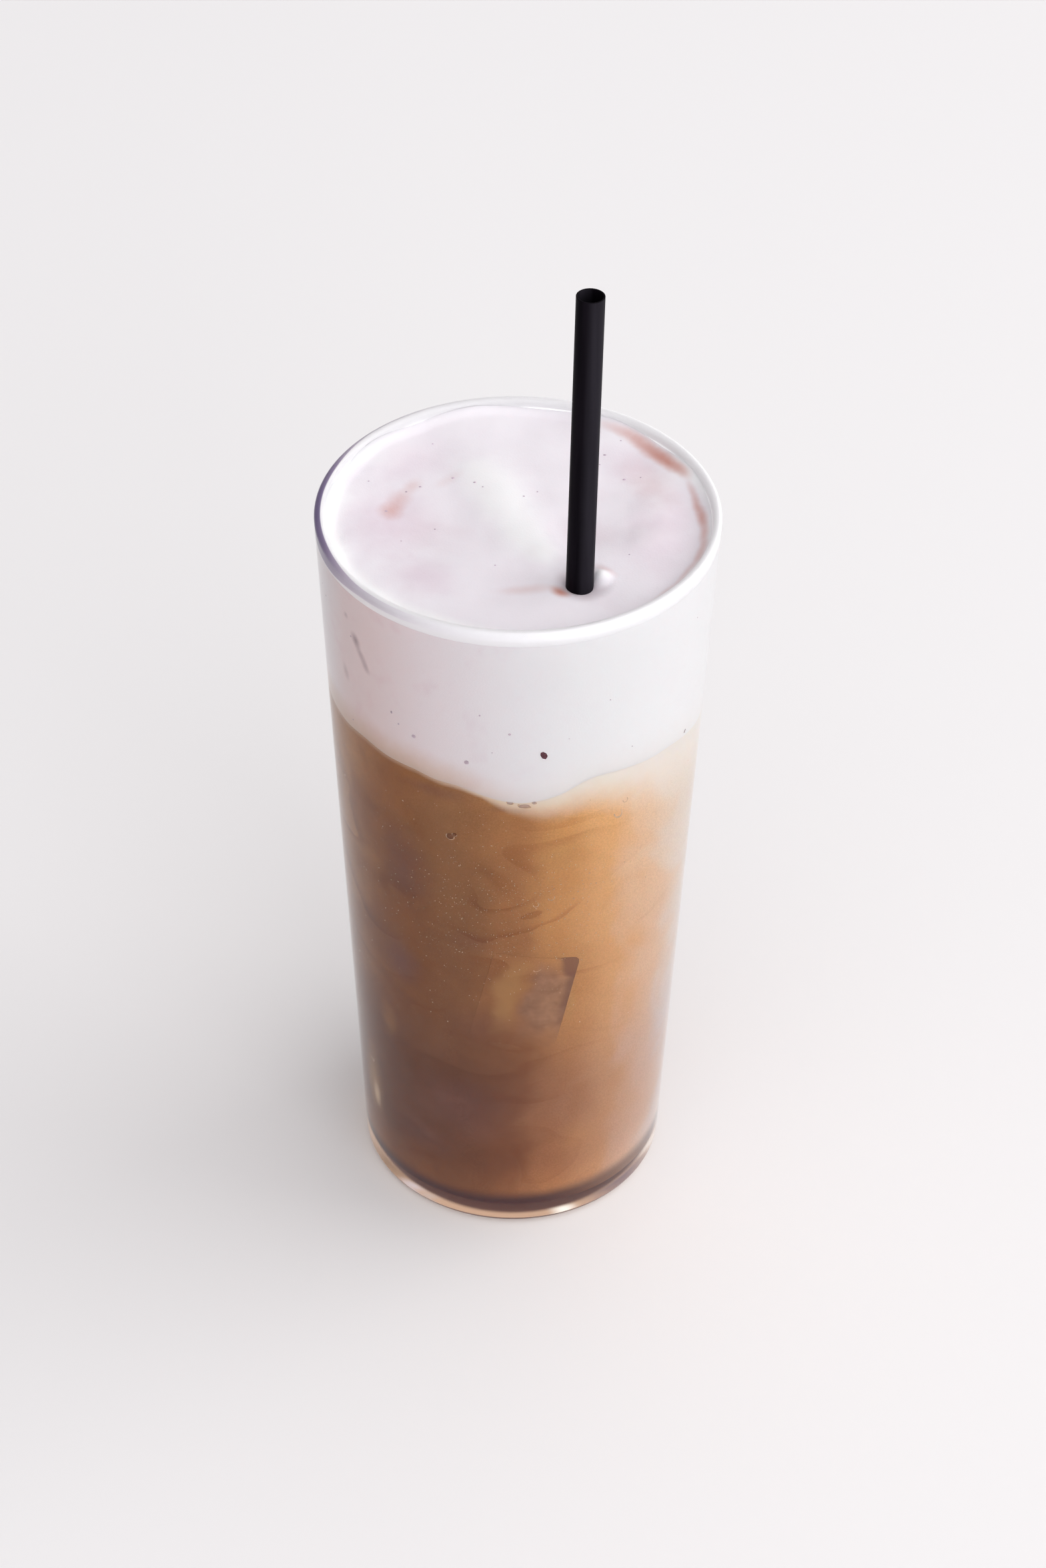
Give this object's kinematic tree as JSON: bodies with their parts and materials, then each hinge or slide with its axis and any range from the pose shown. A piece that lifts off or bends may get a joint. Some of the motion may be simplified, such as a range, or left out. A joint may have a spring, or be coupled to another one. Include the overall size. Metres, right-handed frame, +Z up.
{
  "type": "iced coffee in a glass",
  "caption": "Tall tapered glass of milky iced coffee under a deep layer of white foam, brim full, with a straight black drinking straw.",
  "frame": {"origin": "centre of the glass's underside", "axes": "+Z up along the glass's axis; the straw stands on the +X, -Y side"},
  "size_m": [0.0739, 0.074, 0.2113],
  "materials": {
    "glass": "clear thin soda glass with a melted rim",
    "coffee": "cloudy milky coffee, darker and browner towards the bottom",
    "foam": "dense white milk foam with a faint pink cast and brown crema stains",
    "straw": "smooth black, satin"
  },
  "bodies": {
    "root": {"glass": "glass", "coffee": "coffee", "foam": "foam", "straw": "straw"}
  },
  "joints": []
}
